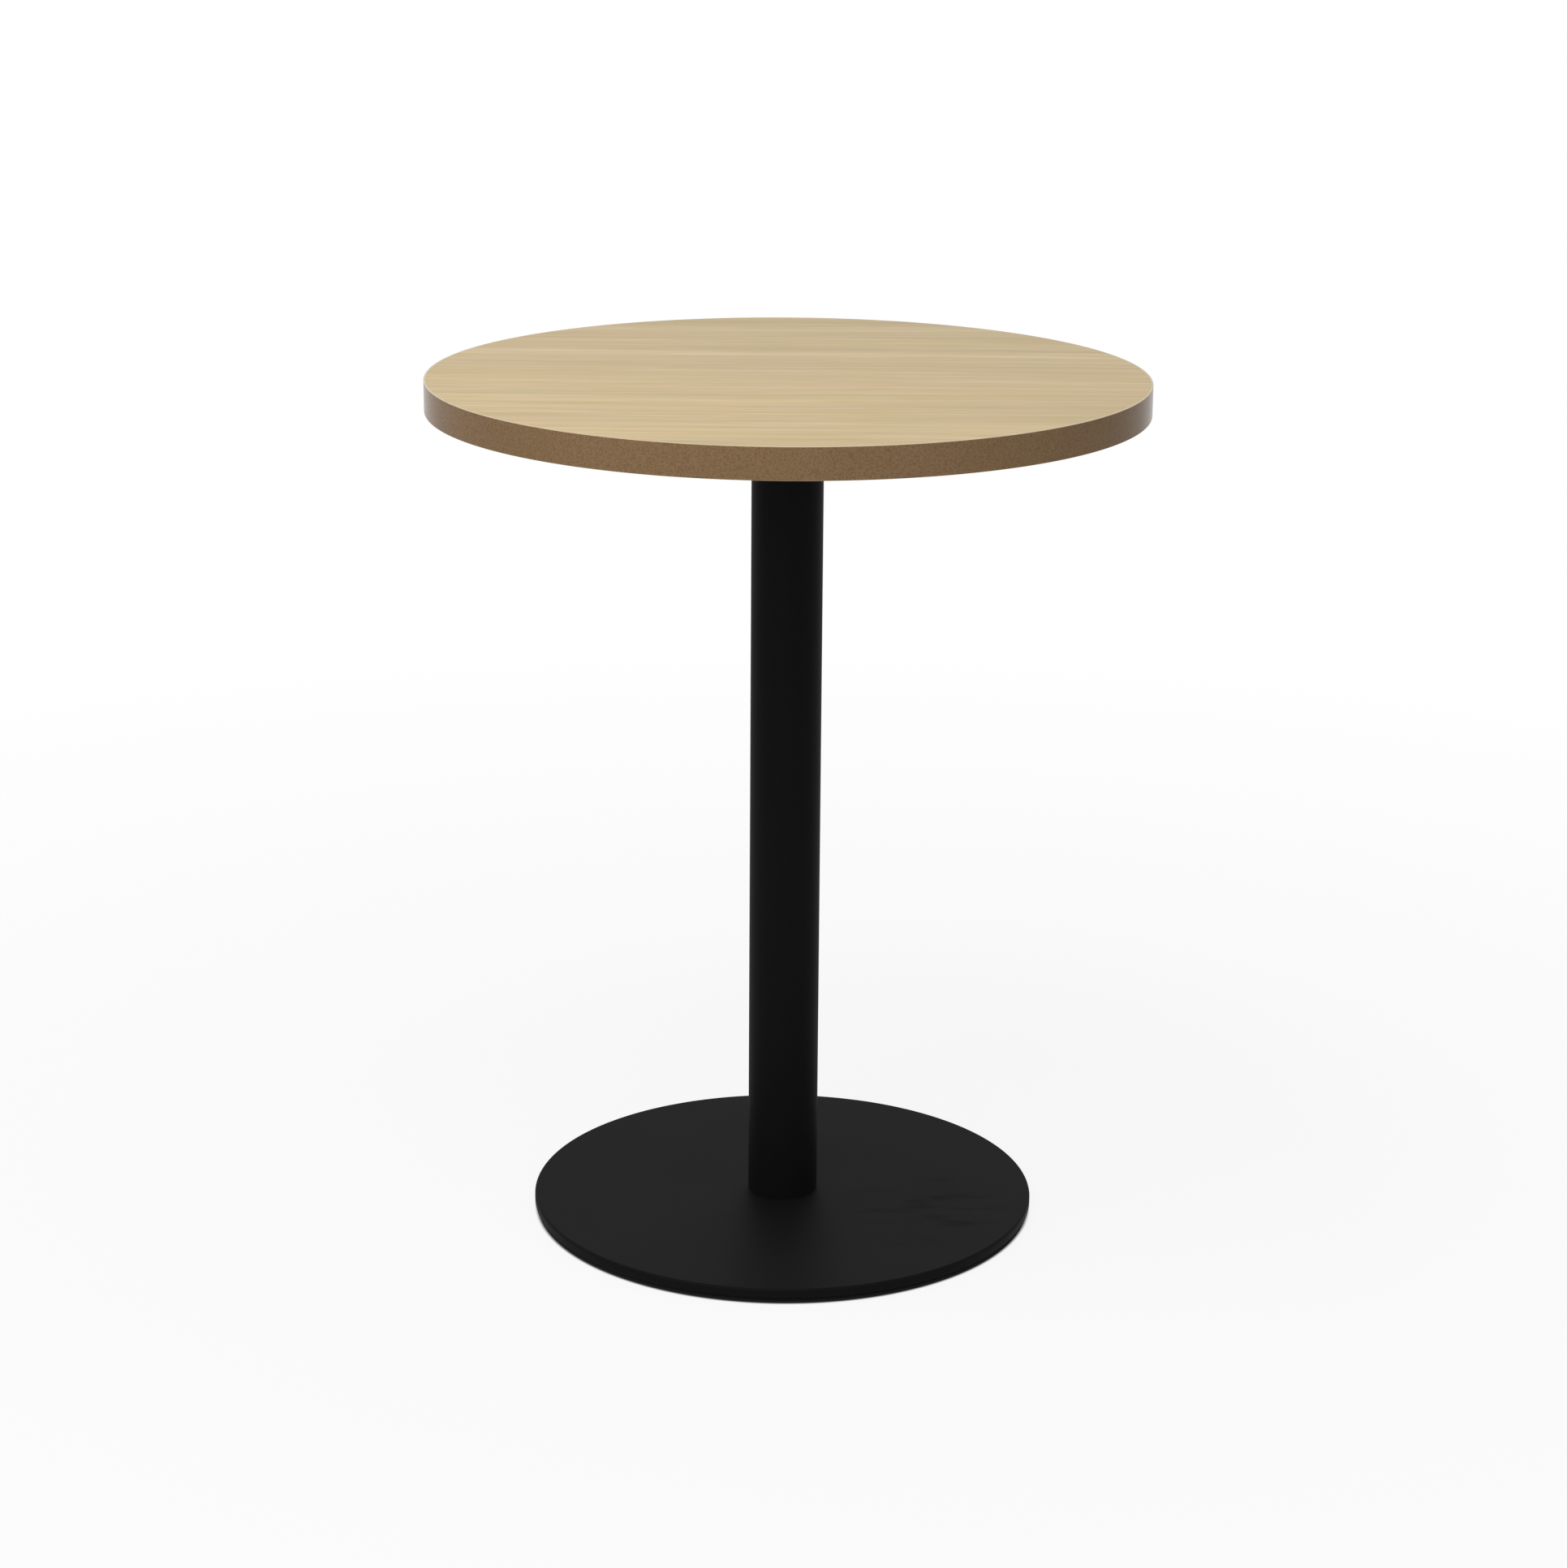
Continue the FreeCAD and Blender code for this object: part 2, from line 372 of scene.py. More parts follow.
def carrying_plate():
    """Square steel plate with round corners and four screw holes."""
    low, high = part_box("top_mounting_plate")
    thickness = high.z - low.z
    put_down()
    bpy.ops.mesh.primitive_cube_add(size=1, location=(low + high) / 2, scale=high - low)
    piece = settle("carrying_plate")
    pick(piece, "EDGE", lambda edge: rise(edge) > thickness / 2)
    bpy.ops.mesh.bevel(offset=PLATE_CORNER_RADIUS, segments=16, affect="EDGES")
    put_down()
    pick(piece, "EDGE", lambda edge: rise(edge) < HEIGHT_SLACK)
    bpy.ops.mesh.bevel(offset=PLATE_ARRIS, segments=3, affect="EDGES")
    put_down()
    cut_out(piece, top_screw_drills(PLATE_HOLE_RADIUS, low, high))
    smooth(piece)
    return piece


def head_bead():
    """Weld bead in the corner of column and plate, laid in overlapping ripples."""
    low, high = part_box("head_weld")
    put_down()
    bpy.ops.mesh.primitive_torus_add(
        major_radius=high.x - BEAD_INSET, minor_radius=BEAD_RADIUS, major_segments=BEAD_RIPPLES * 4,
        minor_segments=BEAD_SIDES, location=(0, 0, high.z - BEAD_DROP),
    )
    piece = settle("head_bead")
    step = 2 * math.pi / BEAD_RIPPLES

    def crest(face):
        middle = face.calc_center_median()
        turn = math.atan2(middle.y, middle.x) + (middle.z - low.z) * BEAD_RIPPLE_LEAN
        return (turn / step) % 1 < 0.5
    pick(piece, "FACE", crest)
    bpy.ops.transform.shrink_fatten(value=BEAD_RIPPLE_HEIGHT)
    put_down()
    finish_with(piece, "SUBSURF", levels=1, render_levels=1)
    smooth(piece, 60)
    return piece


def top_screw():
    """Button-head screw, head down: a domed head with a hexagon socket, and its thread."""
    low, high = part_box("top_screws")
    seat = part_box("top_washers")[0].z
    head = bar("button_head", BUTTON_RADIUS, low.z, seat, SCREW_SIDES)
    round_over(head, low.z, BUTTON_RADIUS, BUTTON_ROUND, 8)
    cut_out(head, [hexagon(BUTTON_KEY, low.z - OVERRUN, low.z + BUTTON_KEY_DEPTH)])
    smooth(head)
    shank = thread("button_shank", *M6_THREAD, seat, high.z)
    smooth(shank, 80)
    return joined([head, shank], "top_screw")


def top_washer():
    low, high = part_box("top_washers")
    piece = ring("top_washer", WASHER_RADIUS, WASHER_HOLE_RADIUS, low.z, high.z, SCREW_SIDES)
    round_over(piece, low.z, WASHER_RADIUS, WASHER_ARRIS, 3)
    smooth(piece)
    return piece


# Column and base

def steel_column():
    """Round tube with its ends slightly rounded."""
    low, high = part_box("column_tube")
    piece = ring("steel_column", high.x, high.x - COLUMN_WALL, low.z, high.z, COLUMN_SIDES)
    for height in (low.z, high.z):
        round_over(piece, height, high.x, COLUMN_ARRIS, 3)
    smooth(piece)
    return piece


def column_screw():
    """Countersunk screw, head down: a flat head with a hexagon socket, its cone, and its thread."""
    low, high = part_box("column_screws")
    radius = M8_THREAD[0]
    head = bar("countersunk_head", COUNTERSUNK_RADIUS, low.z, low.z + COUNTERSUNK_EDGE, SCREW_SIDES)
    pick(head, "FACE", faces_up)
    pull_up(COUNTERSUNK_RADIUS - radius)
    narrow(radius / COUNTERSUNK_RADIUS)
    put_down()
    round_over(head, low.z, COUNTERSUNK_RADIUS, COUNTERSUNK_ARRIS, 2)
    cut_out(head, [hexagon(COUNTERSUNK_KEY, low.z - OVERRUN, low.z + COUNTERSUNK_KEY_DEPTH)])
    smooth(head)
    shank = thread("countersunk_shank", *M8_THREAD, low.z + COUNTERSUNK_SHANK_START, high.z)
    smooth(shank, 80)
    return joined([head, shank], "column_screw")


def countersink():
    """Cutter for one column screw's hole."""
    low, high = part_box("base_disc")
    mouth = low.z + SINK_MOUTH
    tool = bar("countersink", SINK_RADIUS, low.z - OVERRUN, mouth, SCREW_SIDES)
    pick(tool, "FACE", faces_up)
    pull_up(SINK_RADIUS - SINK_HOLE_RADIUS)
    narrow(SINK_HOLE_RADIUS / SINK_RADIUS)
    pull_up(high.z - mouth)
    put_down()
    return tool


def steel_base():
    """Round plate with softened edges, countersunk in the middle and tapped for the glides."""
    low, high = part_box("base_disc")
    piece = bar("steel_base", high.x, low.z, high.z, BASE_SIDES)
    round_over(piece, high.z, high.x, BASE_TOP_ARRIS, 8)
    round_over(piece, low.z, high.x, BASE_BOTTOM_ARRIS, 6)
    tools = [turn_and_move(countersink(), 0, place) for place in column_screw_places()]
    for corner in CORNERS:
        hole = bar("tapping", GLIDE_HOLE_RADIUS, low.z - OVERRUN, high.z - GLIDE_HOLE_SKIN, SCREW_SIDES)
        tools.append(turn_and_move(hole, 0, glide_place(corner)))
    cut_out(piece, tools)
    smooth(piece)
    return piece


# Levelling glides

def levelling_stud():
    """Threaded stem, collar, and a wide head with a hexagon socket from below."""
    low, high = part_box("glide_stud_front_left")
    under_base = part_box("base_disc")[0].z
    head_top = low.z + STUD_HEAD_THICKNESS
    head = bar("stud_head", STUD_HEAD_RADIUS, low.z, head_top, GLIDE_SIDES)
    pick(head, "FACE", faces_up)
    bpy.ops.mesh.inset(thickness=STUD_HEAD_RADIUS - STUD_COLLAR_RADIUS)
    pull_up(under_base - head_top)
    put_down()
    for height, radius in (
        (low.z, STUD_HEAD_RADIUS), (head_top, STUD_HEAD_RADIUS), (under_base, STUD_COLLAR_RADIUS),
    ):
        round_over(head, height, radius, STUD_ARRIS, 2)
    cut_out(head, [hexagon(STUD_KEY, low.z - OVERRUN, low.z + STUD_KEY_DEPTH)])
    smooth(head)
    stem = thread("stud_stem", *M6_THREAD, under_base - STUD_OVERLAP, high.z)
    smooth(stem, 80)
    return joined([head, stem], "levelling_stud")


def nylon_cap():
    """Cup that snaps over the stud's head, with a lip above and a key hole in its sole."""
    low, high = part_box("glide_cap_front_left")
    outer = (high.x - low.x) / 2
    piece = ring("nylon_cap", outer, CAP_KEY_HOLE_RADIUS, low.z, high.z, GLIDE_SIDES)
    round_over(piece, low.z, outer, CAP_SOLE_ROUND, 4)
    round_over(piece, high.z, outer, CAP_RIM_ROUND, 4)
    hollow_bottom, hollow_top = low.z + CAP_HOLLOW_BOTTOM, low.z + CAP_HOLLOW_TOP
    hollow = bar("hollow", CAP_HOLLOW_RADIUS, hollow_bottom, hollow_top, GLIDE_SIDES)
    mouth = bar("mouth", CAP_MOUTH_RADIUS, low.z + CAP_MOUTH_BOTTOM, high.z + OVERRUN, GLIDE_SIDES)
    cut_out(piece, [hollow, mouth])
    round_over(piece, low.z, CAP_KEY_HOLE_RADIUS, CAP_KEY_HOLE_ARRIS, 2)
    smooth(piece)
    return piece


# Finishes

def linear(code):
    """Linear light of an sRGB hex colour."""
    def to_linear(share):
        return share / 12.92 if share <= 0.04045 else ((share + 0.055) / 1.055) ** 2.4
    return [to_linear(int(code[at:at + 2], 16) / 255) for at in (0, 2, 4)] + [1.0]


def node(finish, kind, fields=None, sockets=None):
    """Adds a node with its fields, and each socket's value or link."""
    made = finish.node_tree.nodes.new("ShaderNode" + kind)
    for field, value in (fields or {}).items():
        setattr(made, field, value)
    for socket, value in (sockets or {}).items():
        if isinstance(value, bpy.types.NodeSocket):
            finish.node_tree.links.new(value, made.inputs[socket])
        else:
            made.inputs[socket].default_value = value
    return made


# Fields and sockets of a Mix node that mixes colours, whose sockets go by number
COLOURS = {"data_type": "RGBA"}
AMOUNT, BELOW, ABOVE, RESULT = 0, 6, 7, 2


def empty_finish(name):
    finish = bpy.data.materials.new(name)
    finish.use_nodes = True
    finish.node_tree.nodes.clear()
    return finish


def close(finish, shader):
    """The finish with that shader as its surface."""
    node(finish, "OutputMaterial", sockets={"Surface": shader.outputs[0]})
    return finish


def grain(size_mm):
    """Scale of a pattern on object coordinates whose features are that many millimetres."""
    return 1 / (size_mm * MM)


# Broad streaks of the oak print: place across the grain and half width in mm, colour and strength
OAK_BOARDS = (
    (270, 26, "a89468", 0.5), (226, 24, "d3c39b", 0.35), (172, 9, "ab9769", 0.3),
    (134, 22, "a8936a", 0.45), (102, 14, "dcc79f", 0.5), (72, 12, "d6c49a", 0.3),
    (-52, 22, "d2b18c", 0.3), (-86, 5, "9f895e", 0.5), (-112, 18, "dcc896", 0.35),
    (-145, 10, "c8ab6c", 0.4), (-178, 14, "a89264", 0.35), (-212, 14, "dbc897", 0.3),
    (-252, 22, "cfb375", 0.4), (-167, 1.6, "eadbb8", 0.5), (44, 1.4, "e6d6b0", 0.25),
    (-91, 1.8, "94805a", 0.45),
)

# Finer streaks of it: length and width in mm, detail and shift of the noise, the range of the noise
# over which they come in, colour and strength. The first three lie below the boards.
OAK_UNDERTONES = (
    (700, 42, 3, 0.0, 0.32, 0.68, "bba47a", 1.0),
    (420, 20, 3, 3.1, 0.48, 0.72, "cdb27d", 0.7),
    (300, 12, 4, 7.7, 0.5, 0.75, "ae9a6b", 0.7),
)
OAK_FIGURE = (
    (85, 9, 3, 51.2, 0.5, 0.72, "d0a885", 0.4),
    (110, 10, 3, 63.9, 0.48, 0.7, "baa66b", 0.7),
    (240, 7, 3, 12.4, 0.55, 0.75, "d9c6a2", 0.6),
    (60, 1.6, 4, 21.9, 0.55, 0.78, "9f8656", 0.55),
    (520, 5, 0, 31.3, 0.7, 0.8, "e3d4b2", 0.4),
)


def oak_laminate():
    """High-pressure laminate printed as rift-cut oak: pale tan, with long soft streaks along X."""
    finish = empty_finish("oak_laminate_satin")
    place = node(finish, "TexCoord").outputs["Object"]
    drift = node(finish, "TexNoise", sockets={"Vector": place, "Scale": grain(260), "Detail": 1.0})
    drift = node(finish, "VectorMath", {"operation": "SUBTRACT"}, {
        0: drift.outputs["Color"], 1: (0.5, 0.5, 0.5),
    })
    most_drift = (0, 0.012, 0)
    bent = node(finish, "VectorMath", {"operation": "MULTIPLY_ADD"}, {
        0: drift.outputs[0], 1: most_drift, 2: place,
    })
    path = bent.outputs[0]
    across_grain = node(finish, "SeparateXYZ", sockets={0: path}).outputs["Y"]

    def streaks(long_mm, wide_mm, detail, shift):
        """Noise drawn out along the grain."""
        at = node(finish, "Mapping", sockets={
            "Vector": path, "Location": (shift, shift * 1.7, 0),
            "Scale": (grain(long_mm), grain(wide_mm), 1),
        })
        return node(finish, "TexNoise", sockets={
            "Vector": at.outputs[0], "Scale": 1.0, "Detail": detail, "Roughness": 0.55,
        }).outputs["Fac"]

    def with_streaks(tone, layers):
        """The tone with each layer of streaks over it."""
        for long_mm, wide_mm, detail, shift, start, full, colour, strength in layers:
            amount = node(finish, "MapRange", sockets={
                "Value": streaks(long_mm, wide_mm, detail, shift), "From Min": start, "From Max": full,
                "To Min": 0.0, "To Max": strength,
            })
            tone = node(finish, "Mix", COLOURS, {
                AMOUNT: amount.outputs[0], BELOW: tone, ABOVE: linear(colour),
            }).outputs[RESULT]
        return tone

    def with_boards(tone):
        """The tone with each broad streak over it, soft to both sides and uneven along X."""
        uneven = node(finish, "MapRange", sockets={
            "Value": streaks(240, 60, 2, 17.3), "From Min": 0.25, "From Max": 0.55,
        })
        for middle_mm, half_mm, colour, strength in OAK_BOARDS:
            off = node(finish, "Math", {"operation": "SUBTRACT"}, {0: across_grain, 1: middle_mm * MM})
            off = node(finish, "Math", {"operation": "ABSOLUTE"}, {0: off.outputs[0]})
            soft = node(finish, "MapRange", {"interpolation_type": "SMOOTHSTEP"}, {
                "Value": off.outputs[0], "From Max": half_mm * MM, "To Min": strength, "To Max": 0.0,
            })
            amount = node(finish, "Math", {"operation": "MULTIPLY"}, {
                0: soft.outputs[0], 1: uneven.outputs[0],
            })
            tone = node(finish, "Mix", COLOURS, {
                AMOUNT: amount.outputs[0], BELOW: tone, ABOVE: linear(colour),
            }).outputs[RESULT]
        return tone

    tone = with_streaks(linear("c9b386"), OAK_UNDERTONES)
    tone = with_boards(tone)
    tone = with_streaks(tone, OAK_FIGURE)
    pores = streaks(34, 0.8, 3, 43.0)
    bump = node(finish, "Bump", sockets={"Height": pores, "Strength": 0.12, "Distance": 0.06 * MM})
    rough = node(finish, "MapRange", sockets={"Value": pores, "To Min": 0.42, "To Max": 0.52})
    return close(finish, node(finish, "BsdfPrincipled", sockets={
        "Base Color": tone, "Roughness": rough.outputs[0], "IOR": 1.5, "Specular IOR Level": 0.3,
        "Normal": bump.outputs[0],
    }))


def edge_plastic():
    """ABS edge banding, extruded and printed: brown, with fine dark flecks and a satin sheen.
    The print covers its face, and the trimmer bares the pale plastic above and below."""
    low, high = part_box("edge_band")
    finish = empty_finish("abs_edge_band_satin")
    place = node(finish, "TexCoord").outputs["Object"]
    cloud = node(finish, "TexNoise", sockets={"Vector": place, "Scale": grain(60), "Detail": 3.0})
    body = node(finish, "Mix", COLOURS, {
        AMOUNT: cloud.outputs["Fac"], BELOW: linear("937759"), ABOVE: linear("886f50"),
    })
    # The printed flecks go down to about half a millimetre, and are drawn coarser so that they show
    fleck = node(finish, "TexNoise", sockets={
        "Vector": place, "Scale": grain(1.5), "Detail": 2.0, "Roughness": 0.6,
    })
    flecked = node(finish, "MapRange", sockets={
        "Value": fleck.outputs["Fac"], "From Min": 0.42, "From Max": 0.66, "To Max": 0.5,
    })
    printed = node(finish, "Mix", COLOURS, {
        AMOUNT: flecked.outputs[0], BELOW: body.outputs[RESULT], ABOVE: linear("64482d"),
    })
    # The print ends part of the way up the small rounds
    half = (high.z - low.z) / 2
    level = node(finish, "SeparateXYZ", sockets={0: place}).outputs["Z"]
    off = node(finish, "Math", {"operation": "SUBTRACT"}, {0: level, 1: (low.z + high.z) / 2})
    off = node(finish, "Math", {"operation": "ABSOLUTE"}, {0: off.outputs[0]})
    bare = node(finish, "MapRange", sockets={
        "Value": off.outputs[0], "From Min": half - 0.3 * MM, "From Max": half - 0.2 * MM,
    })
    tone = node(finish, "Mix", COLOURS, {
        AMOUNT: bare.outputs[0], BELOW: printed.outputs[RESULT], ABOVE: linear("cdbb98"),
    })
    bump = node(finish, "Bump", sockets={
        "Height": fleck.outputs["Fac"], "Strength": 0.1, "Distance": 0.05 * MM,
    })
    rough = node(finish, "MapRange", sockets={
        "Value": fleck.outputs["Fac"], "To Min": 0.16, "To Max": 0.22,
    })
    return close(finish, node(finish, "BsdfPrincipled", sockets={
        "Base Color": tone.outputs[RESULT], "Roughness": rough.outputs[0], "IOR": 1.5,
        "Specular IOR Level": 0.045, "Normal": bump.outputs[0],
    }))


def black_powder_coat():
    """Polyester powder coat, baked: matt black with a fine orange peel, and faint marks of wiping."""
    finish = empty_finish("powder_coat_matt_black")
    place = node(finish, "TexCoord").outputs["Object"]
    peel = node(finish, "TexNoise", sockets={"Vector": place, "Scale": grain(1.4), "Detail": 2.0})
    cloud = node(finish, "TexNoise", sockets={"Vector": place, "Scale": grain(90), "Detail": 2.0})
    tone = node(finish, "Mix", COLOURS, {
        AMOUNT: cloud.outputs["Fac"], BELOW: linear("111111"), ABOVE: linear("141414"),
    })
    rough = node(finish, "MapRange", sockets={
        "Value": cloud.outputs["Fac"], "From Min": 0.3, "From Max": 0.7, "To Min": 0.55, "To Max": 0.58,
    })
    # Marks of a cloth, drawn nearly along X in one patch on the base's upper face, at its front right
    face_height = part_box("base_disc")[1].z
    patch_middle = (0.13, -0.05, face_height)
    cloth_turn = 0.25
    strokes = node(finish, "Mapping", sockets={
        "Vector": place, "Rotation": (0, 0, cloth_turn), "Scale": (grain(55), grain(18), 1),
    })
    strokes = node(finish, "TexNoise", sockets={"Vector": strokes.outputs[0], "Scale": 1.0, "Detail": 2.0})
    apart = node(finish, "VectorMath", {"operation": "DISTANCE"}, {0: place, 1: patch_middle})
    patch = node(finish, "MapRange", sockets={
        "Value": apart.outputs["Value"], "From Min": 0.02, "From Max": 0.09, "To Min": 1.0, "To Max": 0.0,
    })
    mark = node(finish, "MapRange", sockets={
        "Value": strokes.outputs["Fac"], "From Min": 0.52, "From Max": 0.7, "To Max": 0.1,
    })
    wiped = node(finish, "Math", {"operation": "MULTIPLY"}, {0: patch.outputs[0], 1: mark.outputs[0]})
    height = node(finish, "SeparateXYZ", sockets={0: place}).outputs["Z"]
    upper = node(finish, "MapRange", sockets={
        "Value": height, "From Min": face_height - BASE_TOP_ARRIS, "From Max": face_height - 0.5 * MM,
    })
    wiped = node(finish, "Math", {"operation": "MULTIPLY"}, {0: wiped.outputs[0], 1: upper.outputs[0]})
    rough = node(finish, "Math", {"operation": "ADD"}, {0: rough.outputs[0], 1: wiped.outputs[0]})
    bump = node(finish, "Bump", sockets={
        "Height": peel.outputs["Fac"], "Strength": 0.15, "Distance": 0.04 * MM,
    })
    return close(finish, node(finish, "BsdfPrincipled", sockets={
        "Base Color": tone.outputs[RESULT], "Roughness": rough.outputs[0], "IOR": 1.5,
        "Specular IOR Level": 0.037, "Normal": bump.outputs[0],
    }))


def plain_finish(name, light, dark, size_mm, metallic, roughness, peel_mm, depth_mm):
    """A finish whose tone wanders between two close colours over a fine texture."""
    finish = empty_finish(name)
    place = node(finish, "TexCoord").outputs["Object"]
    patch = node(finish, "TexNoise", sockets={
        "Vector": place, "Scale": grain(size_mm), "Detail": 4.0, "Roughness": 0.6,
    })
    tone = node(finish, "Mix", COLOURS, {
        AMOUNT: patch.outputs["Fac"], BELOW: linear(light), ABOVE: linear(dark),
    })
    rough = node(finish, "MapRange", sockets={
        "Value": patch.outputs["Fac"], "From Min": 0.3, "From Max": 0.7,
        "To Min": roughness - 0.05, "To Max": roughness + 0.07,
    })
    peel = node(finish, "TexNoise", sockets={"Vector": place, "Scale": grain(peel_mm), "Detail": 3.0})
    bump = node(finish, "Bump", sockets={
        "Height": peel.outputs["Fac"], "Strength": 0.25, "Distance": depth_mm * MM,
    })
    return close(finish, node(finish, "BsdfPrincipled", sockets={
        "Base Color": tone.outputs[RESULT], "Metallic": metallic, "Roughness": rough.outputs[0],
        "Normal": bump.outputs[0],
    }))


oak = oak_laminate()
edge = edge_plastic()
coat = black_powder_coat()
# Pressed chips: a mottled tan board that reflects nothing sharply
chipboard = plain_finish("chipboard_raw", "c7a878", "8f6d43", 2.5, 0.0, 0.8, 1.5, 0.3)
# Melamine paper, pressed: an even warm grey with a soft sheen
backing = plain_finish("melamine_backing_sheet", "bcb4a4", "b3ab9b", 18, 0.0, 0.5, 1.2, 0.04)
# Bright zinc plating: pale bluish metal, a little hazy
zinc = plain_finish("zinc_plate_bright", "c9ccd0", "b5b9be", 3, 1.0, 0.3, 0.6, 0.01)
# Zinc alloy, die-cast: duller and greyer than plating
die_cast = plain_finish("zinc_die_cast", "b9babb", "9c9d9f", 2, 1.0, 0.45, 0.5, 0.02)
# Mild steel, turned and left bare: warm grey metal
mild_steel = plain_finish("mild_steel_turned", "a9a7a4", "8d8b88", 4, 1.0, 0.4, 0.5, 0.02)
# Steel blackened in oxide: near black, with a metal's sheen
oxide = plain_finish("black_oxide_steel", "2b2b2d", "1d1d1f", 2, 0.9, 0.42, 0.5, 0.01)
# Nylon, moulded: black and evenly matt
nylon = plain_finish("nylon_moulded_black", "161616", "0f0f0f", 8, 0.0, 0.55, 0.7, 0.03)


# Dressing of the frame

dress(oak_face(), "table", ["tabletop_laminate"], oak)
dress(plastic_edge(), "table", ["edge_band"], edge)
dress(underside_sheet(), "table", ["underside_backer"], backing)
dress(carrying_plate(), "table", ["top_mounting_plate"], coat)
dress(head_bead(), "table", ["head_weld"], coat)
button_heads = set_of(top_screw(), "button_head_screws", top_screw_places())
dress(button_heads, "table", ["top_screws"], zinc)
flat_washers = set_of(top_washer(), "flat_washers", top_screw_places())
dress(flat_washers, "table", ["top_washers"], zinc)
dress(steel_column(), "table", ["column_tube"], coat)
countersunk_heads = set_of(column_screw(), "countersunk_screws", column_screw_places())
dress(countersunk_heads, "table", ["column_screws"], oxide)
dress(steel_base(), "table", ["base_disc"], coat)

stud = levelling_stud()
cap = nylon_cap()
for corner in CORNERS:
    place = glide_place(corner)
    stud_here = turn_and_move(copy_of(stud, "levelling_stud_" + corner), 0, place)
    dress(stud_here, "glide_stud_" + corner, ["glide_stud_" + corner], zinc)
    cap_here = turn_and_move(copy_of(cap, "nylon_cap_" + corner), 0, place)
    dress(cap_here, "glide_cap_" + corner, ["glide_cap_" + corner], nylon)
bpy.data.objects.remove(stud)
bpy.data.objects.remove(cap)

for name, finish in (
    ("tabletop_core", chipboard), ("insert_nuts", die_cast),
    ("column_foot_plug", mild_steel), ("foot_weld", mild_steel),
):
    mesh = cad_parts[name].data
    mesh.materials.clear()
    mesh.materials.append(finish)


# Room: a pale floor, a white surround and soft light from above and in front

def seen_directly(finish):
    """One for what the camera sees, itself or in metal or glass, and zero for light on its way."""
    ray = node(finish, "LightPath").outputs
    seen = node(finish, "Math", {"operation": "MAXIMUM"}, {
        0: ray["Is Camera Ray"], 1: ray["Is Glossy Ray"],
    })
    seen = node(finish, "Math", {"operation": "MAXIMUM"}, {
        0: seen.outputs[0], 1: ray["Is Transmission Ray"],
    })
    return seen.outputs[0]


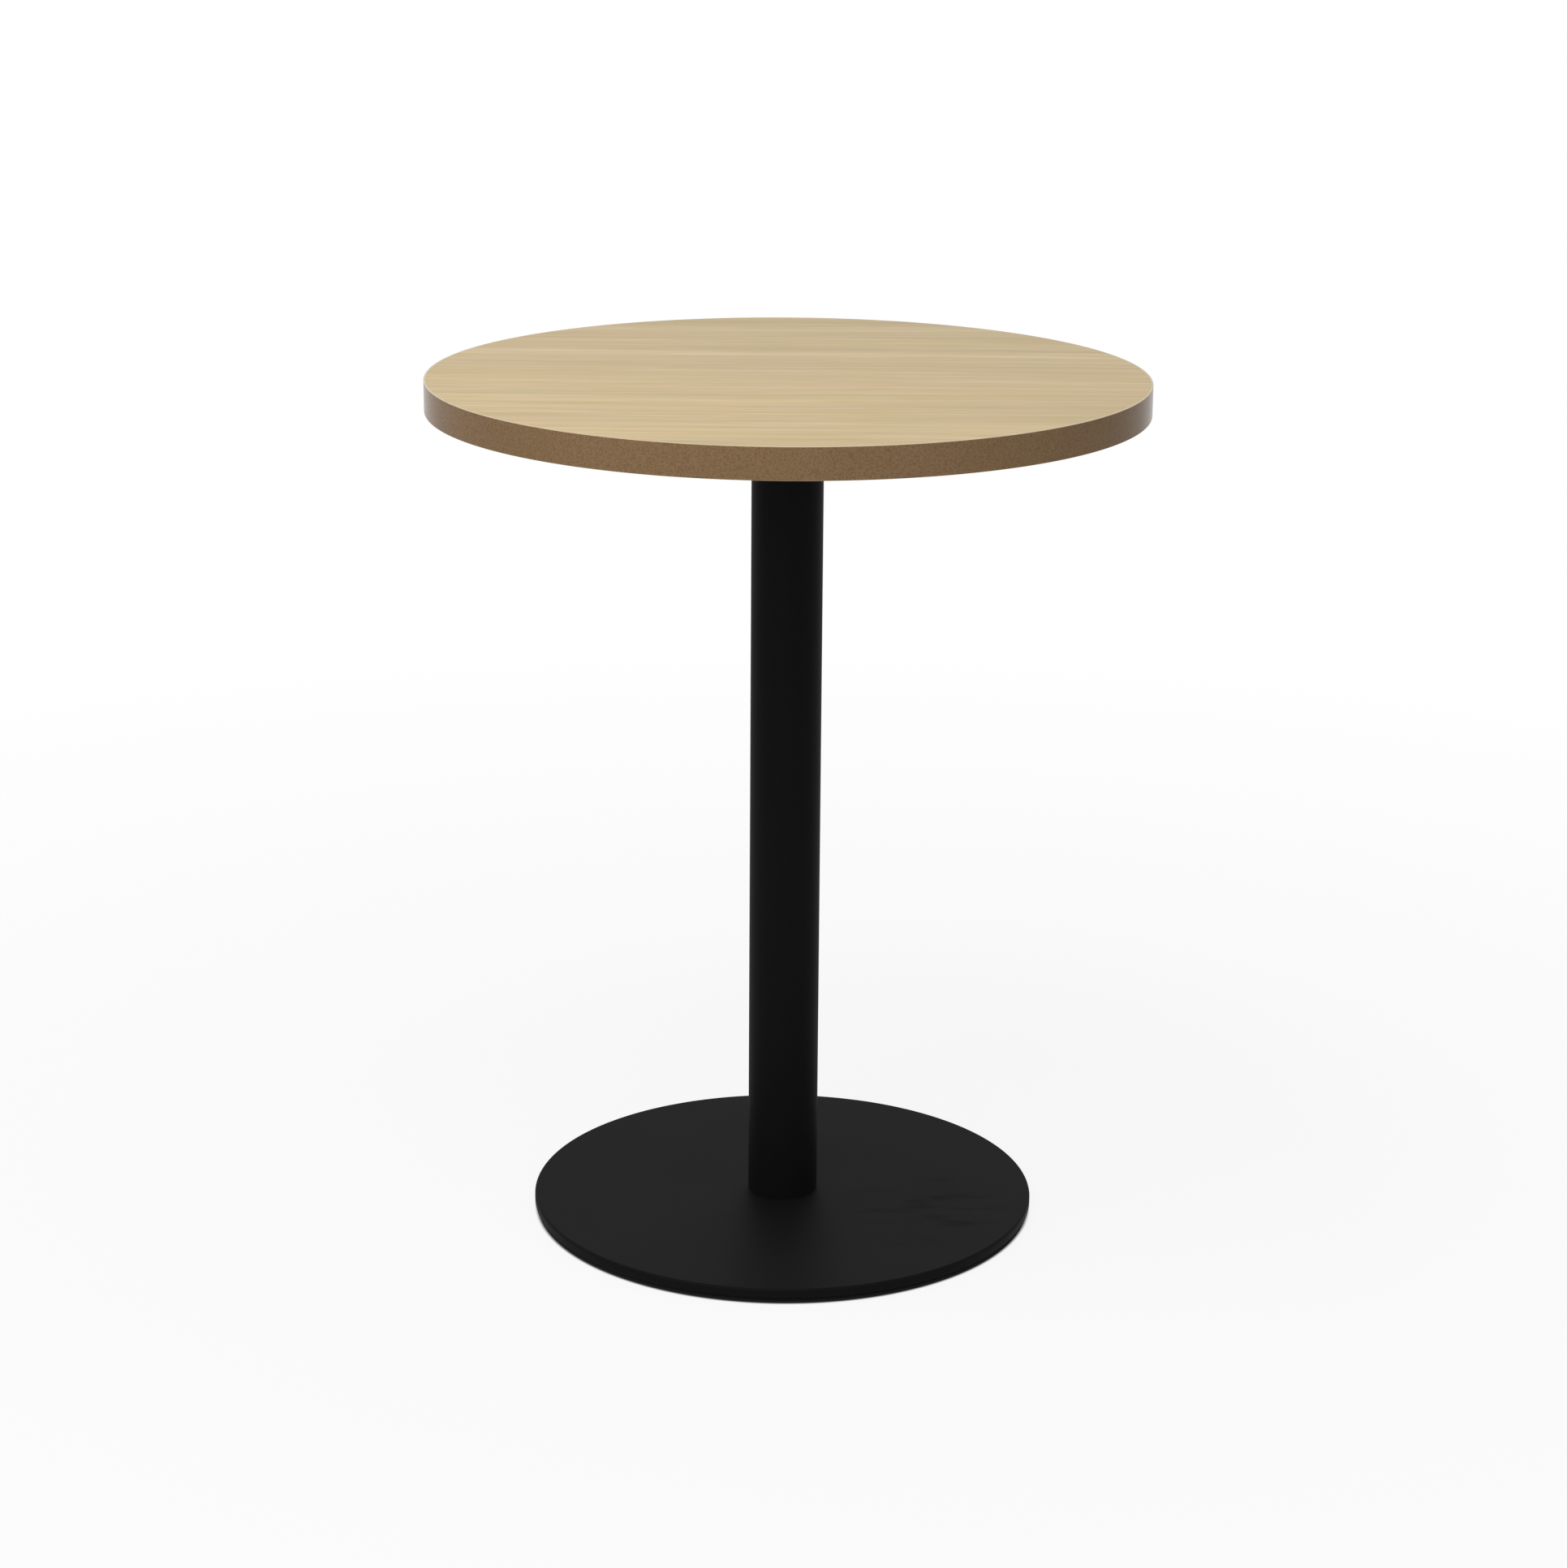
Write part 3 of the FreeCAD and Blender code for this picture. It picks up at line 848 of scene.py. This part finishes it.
def pale_floor():
    """Shaded near the table, pure white further off, and with a painted shadow in the low gap under the
    base. From below it is clear, and light reaches the table's underside through it."""
    width = 40
    depth = 0.02 * MM  # below the soles, so that the two never lie in one plane
    base_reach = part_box("base_disc")[1].x
    put_down()
    bpy.ops.mesh.primitive_plane_add(size=width, location=(0, 0, -depth))
    floor = settle("floor")
    finish = empty_finish("floor_white")
    place = node(finish, "TexCoord").outputs["Object"]
    apart = node(finish, "VectorMath", {"operation": "LENGTH"}, {0: place}).outputs["Value"]
    # Painted shadow: the floor's white is switched off inside the base's reach, so the low gap under the
    # base reads dark
    outside_painted_shadow = node(finish, "MapRange", sockets={
        "Value": apart, "From Min": base_reach - 2.5 * MM, "From Max": base_reach + 0.5 * MM,
    })
    # The matt floor shows through the white one by this much, less with distance
    pure = node(finish, "MapRange", sockets={
        "Value": apart, "From Min": 0.5, "From Max": 2.0, "To Min": 0.88,
    })
    seen = node(finish, "Math", {"operation": "MULTIPLY"}, {0: seen_directly(finish), 1: pure.outputs[0]})
    matt = node(finish, "BsdfDiffuse", sockets={"Color": linear("e6e6e6")})
    white = node(finish, "Emission", sockets={"Color": linear("ffffff"), "Strength": outside_painted_shadow.outputs[0]})
    from_above = node(finish, "MixShader", sockets={
        0: seen.outputs[0], 1: matt.outputs[0], 2: white.outputs[0],
    })
    well_inside = node(finish, "MapRange", sockets={
        "Value": apart, "From Min": base_reach - 25 * MM, "From Max": base_reach - 15 * MM,
        "To Min": 1.0, "To Max": 0.0,
    })
    camera = node(finish, "LightPath").outputs["Is Camera Ray"]
    to_underside = node(finish, "Math", {"operation": "SUBTRACT", "use_clamp": True}, {
        0: well_inside.outputs[0], 1: camera,
    })
    from_below = node(finish, "NewGeometry").outputs["Backfacing"]
    clear_share = node(finish, "Math", {"operation": "MAXIMUM"}, {
        0: from_below, 1: to_underside.outputs[0],
    })
    clear = node(finish, "BsdfTransparent")
    floor.data.materials.append(close(finish, node(finish, "MixShader", sockets={
        0: clear_share.outputs[0], 1: from_above.outputs[0], 2: clear.outputs[0],
    })))


def white_surround():
    """White where it is seen, and dimmer as light, so that the top isn't washed out."""
    world = bpy.data.worlds.new("surround")
    bpy.context.scene.world = world
    world.use_nodes = True
    world.node_tree.nodes.clear()
    strength = node(world, "MapRange", sockets={
        "Value": seen_directly(world), "To Min": 0.4, "To Max": 1.0,
    })
    shell = node(world, "Background", sockets={"Color": linear("ffffff"), "Strength": strength.outputs[0]})
    node(world, "OutputWorld", sockets={"Surface": shell.outputs[0]})


def soft_lamp(name, place, target, size, power):
    """Round lamp of that width and wattage, turned towards its target."""
    lamp = bpy.data.lights.new(name, "AREA")
    lamp.shape = "DISK"
    lamp.size = size
    lamp.energy = power
    holder = bpy.data.objects.new(name, lamp)
    bpy.context.scene.collection.objects.link(holder)
    holder.location = place
    holder.rotation_euler = (Vector(target) - Vector(place)).to_track_quat("-Z", "Y").to_euler()


def camera_of_the_photograph():
    """Where the photograph was taken from, fitted to the outlines of top, column and base."""
    place = (0, -2.9061, 1.2527)
    lens_mm = 81.58
    pitch, roll, yaw = 0.29068, -0.00737, -0.00055
    ahead = Vector((math.sin(yaw) * math.cos(pitch), math.cos(yaw) * math.cos(pitch), -math.sin(pitch)))
    level = Vector((math.cos(yaw), -math.sin(yaw), 0))
    right = math.cos(roll) * level + math.sin(roll) * ahead.cross(level)
    up = right.cross(ahead)
    view = bpy.data.cameras.new("camera")
    view.lens = lens_mm
    holder = bpy.data.objects.new("camera", view)
    bpy.context.scene.collection.objects.link(holder)
    turn = Matrix((right, up, -ahead)).transposed().to_4x4()
    holder.matrix_world = Matrix.Translation(place) @ turn
    bpy.context.scene.camera = holder


pale_floor()
white_surround()
soft_lamp("overhead", (-0.55, -0.9, 2.6), (0, 0, 0.6), 2.2, 35)
soft_lamp("front_fill", (-0.9, -3.0, 1.3), (0, 0, 0.4), 1.6, 12)
camera_of_the_photograph()
bpy.context.scene.view_settings.view_transform = "Standard"
